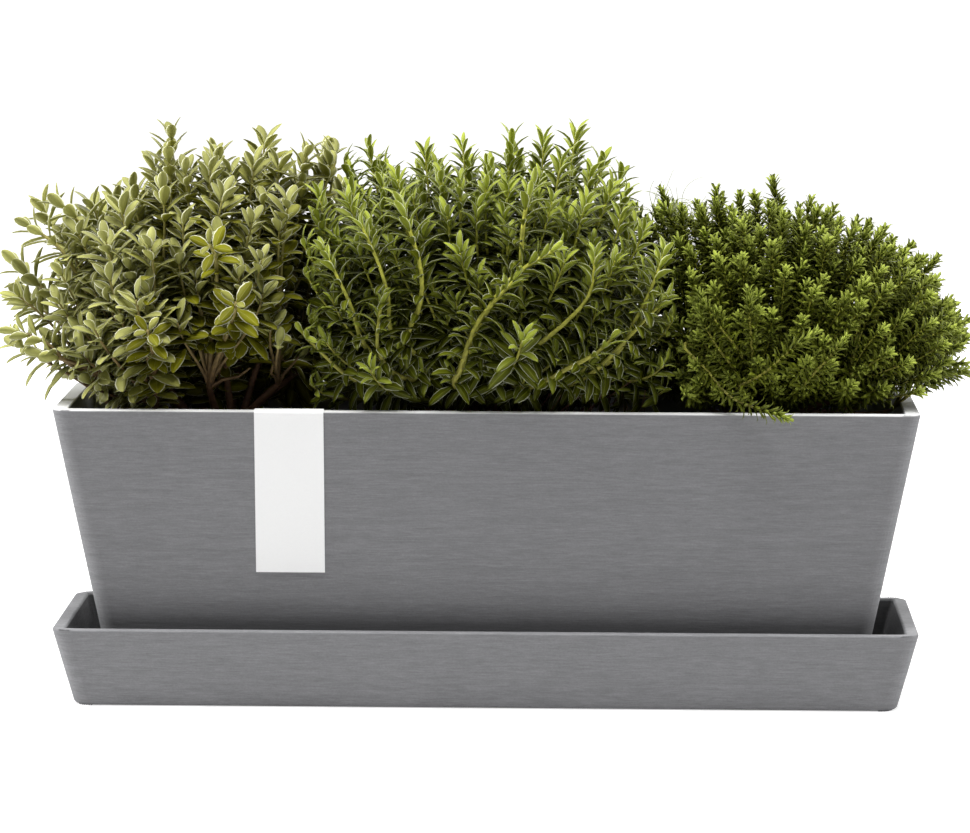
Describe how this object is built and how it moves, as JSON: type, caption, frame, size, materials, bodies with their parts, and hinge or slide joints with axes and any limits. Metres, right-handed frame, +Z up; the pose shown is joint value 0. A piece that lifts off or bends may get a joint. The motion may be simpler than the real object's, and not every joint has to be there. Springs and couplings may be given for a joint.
{
  "type": "planted rectangular pot",
  "caption": "Tapered rectangular balcony pot in a matching saucer, planted with small evergreen shrubs in a row; pot, shrubs and rim strip lift off.",
  "frame": {"origin": "middle of the saucer's flat underside, on the ground", "axes": "+Z up, +X along the trough to the right seen from the front, -Y to the front with the card strip"},
  "size_m": [0.6244, 0.2178, 0.369],
  "materials": {
    "pot_grey": "matte",
    "gravel": "matte",
    "soil": "matte",
    "roots": "matte",
    "card": "matte",
    "bark": "matte",
    "leaf_left": "satin",
    "leaf_middle": "satin",
    "leaf_right": "satin"
  },
  "bodies": {
    "saucer": {"saucer": "pot_grey"},
    "pot": {"pot_shell": "pot_grey", "drainage_gravel": "gravel", "potting_soil": "soil"},
    "label": {"label_strip": "card"},
    "shrub_left": {"root_ball_left": "roots", "stems_left": "bark", "shoot_left_01": "leaf_left", "shoot_left_02": "leaf_left", "shoot_left_03": "leaf_left", "shoot_left_04": "leaf_left", "shoot_left_05": "leaf_left", "shoot_left_06": "leaf_left", "shoot_left_07": "leaf_left", "shoot_left_08": "leaf_left"},
    "shrub_middle": {"root_ball_middle": "roots", "stems_middle": "bark", "shoot_middle_01": "leaf_middle", "shoot_middle_02": "leaf_middle", "shoot_middle_03": "leaf_middle", "shoot_middle_04": "leaf_middle", "shoot_middle_05": "leaf_middle", "shoot_middle_06": "leaf_middle", "shoot_middle_07": "leaf_middle", "shoot_middle_08": "leaf_middle"},
    "shrub_right": {"root_ball_right": "roots", "stems_right": "bark", "shoot_right_01": "leaf_right", "shoot_right_02": "leaf_right", "shoot_right_03": "leaf_right", "shoot_right_04": "leaf_right", "shoot_right_05": "leaf_right", "shoot_right_06": "leaf_right", "shoot_right_07": "leaf_right", "shoot_right_08": "leaf_right", "shoot_right_09": "leaf_right"}
  },
  "joints": [
    {"name": "pot_lift", "type": "slide", "parent": "saucer", "child": "pot", "axis": [0, 0, 1], "range_m": [0, 0.06]},
    {"name": "label_slide", "type": "slide", "parent": "pot", "child": "label", "axis": [0, -0.1867, 0.9824], "range_m": [0, 0.036]},
    {"name": "shrub_left_lift", "type": "slide", "parent": "pot", "child": "shrub_left", "axis": [0, 0, 1], "range_m": [0, 0.15]},
    {"name": "shrub_middle_lift", "type": "slide", "parent": "pot", "child": "shrub_middle", "axis": [0, 0, 1], "range_m": [0, 0.15]},
    {"name": "shrub_right_lift", "type": "slide", "parent": "pot", "child": "shrub_right", "axis": [0, 0, 1], "range_m": [0, 0.15]}
  ]
}
